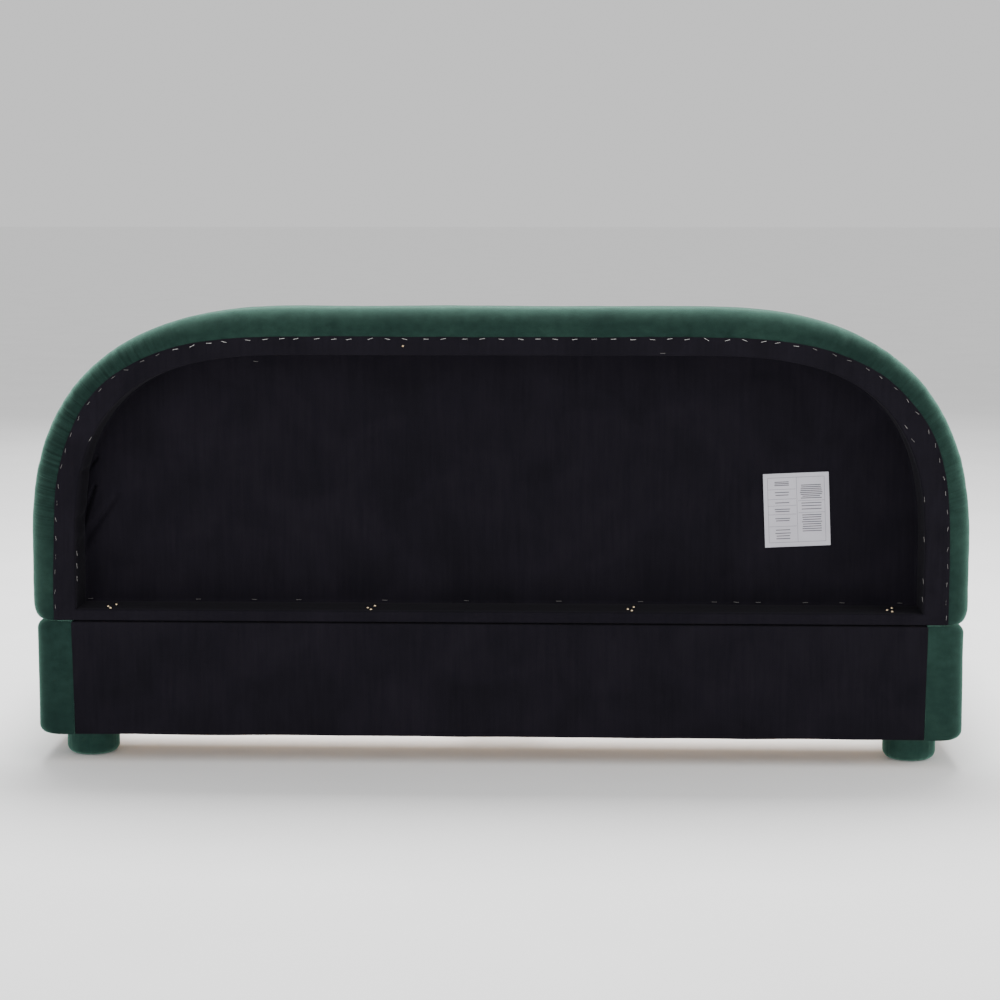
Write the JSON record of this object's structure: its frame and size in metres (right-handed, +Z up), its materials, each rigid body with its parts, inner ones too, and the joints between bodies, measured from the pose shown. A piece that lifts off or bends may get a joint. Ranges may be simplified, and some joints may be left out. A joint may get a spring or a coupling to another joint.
{
  "type": "upholstered headboard bed",
  "caption": "Low platform bed in dark green velvet with a padded arched headboard that is open and lined in black cloth at the back, padded box rails, a slat deck and short round feet.",
  "frame": {"origin": "on the floor under the middle of the bed's outline: the bottom centre of its bounding box", "axes": "+Y towards the headboard's open back, -Y towards the foot rail, +X to the right seen from the foot end, +Z up"},
  "size_m": [1.698, 2.28, 0.8275],
  "materials": {
    "green_velvet": "short-pile velvet with sheen",
    "black_cambric": "thin non-woven dust cover cloth",
    "cream_foam": "open-cell foam, hidden",
    "pine": "sanded, unfinished",
    "plywood": "sanded, unfinished",
    "black_steel": "satin powder coat",
    "black_plastic": "matte moulded",
    "label": "plain white sewn label"
  },
  "bodies": {
    "bed": {"beam_hanger_foot": "black_steel", "beam_hanger_head": "black_steel", "care_label": "label", "centre_beam": "pine", "centre_leg_foot_side": "black_plastic", "centre_leg_head_side": "black_plastic", "corner_block_foot_left": "plywood", "corner_block_foot_right": "plywood", "corner_block_head_left": "plywood", "corner_block_head_right": "plywood", "corner_bracket_foot_left": "black_steel", "corner_bracket_foot_right": "black_steel", "corner_bracket_head_left": "black_steel", "corner_bracket_head_right": "black_steel", "foot_core_foot_left": "black_plastic", "foot_core_foot_right": "black_plastic", "foot_core_head_left": "black_plastic", "foot_core_head_right": "black_plastic", "foot_rail_board": "pine", "foot_rail_cover": "green_velvet", "foot_rail_foam": "cream_foam", "foot_sleeve_foot_left": "green_velvet", "foot_sleeve_foot_right": "green_velvet", "foot_sleeve_head_left": "green_velvet", "foot_sleeve_head_right": "green_velvet", "head_rail_dust_cover": "black_cambric", "head_rail_front_board": "plywood", "head_rail_rear_board": "plywood", "head_rail_top_board": "plywood", "head_rail_velvet_strip": "green_velvet", "headboard_dust_cover": "black_cambric", "headboard_edge_foam": "cream_foam", "headboard_front_foam": "cream_foam", "headboard_ledge_board": "plywood", "headboard_panel": "plywood", "headboard_rib_left": "plywood", "headboard_rib_right": "plywood", "headboard_top_rail": "pine", "headboard_velvet_cover": "green_velvet", "side_rail_board_left": "pine", "side_rail_board_right": "pine", "side_rail_cover_left": "green_velvet", "side_rail_cover_right": "green_velvet", "side_rail_foam_left": "cream_foam", "side_rail_foam_right": "cream_foam", "slat_01": "pine", "slat_02": "pine", "slat_03": "pine", "slat_04": "pine", "slat_05": "pine", "slat_06": "pine", "slat_07": "pine", "slat_08": "pine", "slat_09": "pine", "slat_10": "pine", "slat_11": "pine", "slat_cleat_left": "pine", "slat_cleat_right": "pine"},
    "leveller_foot": {"leveller_foot_side": "black_steel"},
    "leveller_head": {"leveller_head_side": "black_steel"}
  },
  "joints": [
    {"name": "leveller_foot_screw", "type": "slide", "parent": "bed", "child": "leveller_foot", "axis": [0, 0, 1], "range_m": [-0.01, 0.01]},
    {"name": "leveller_head_screw", "type": "slide", "parent": "bed", "child": "leveller_head", "axis": [0, 0, 1], "range_m": [-0.01, 0.01]}
  ]
}
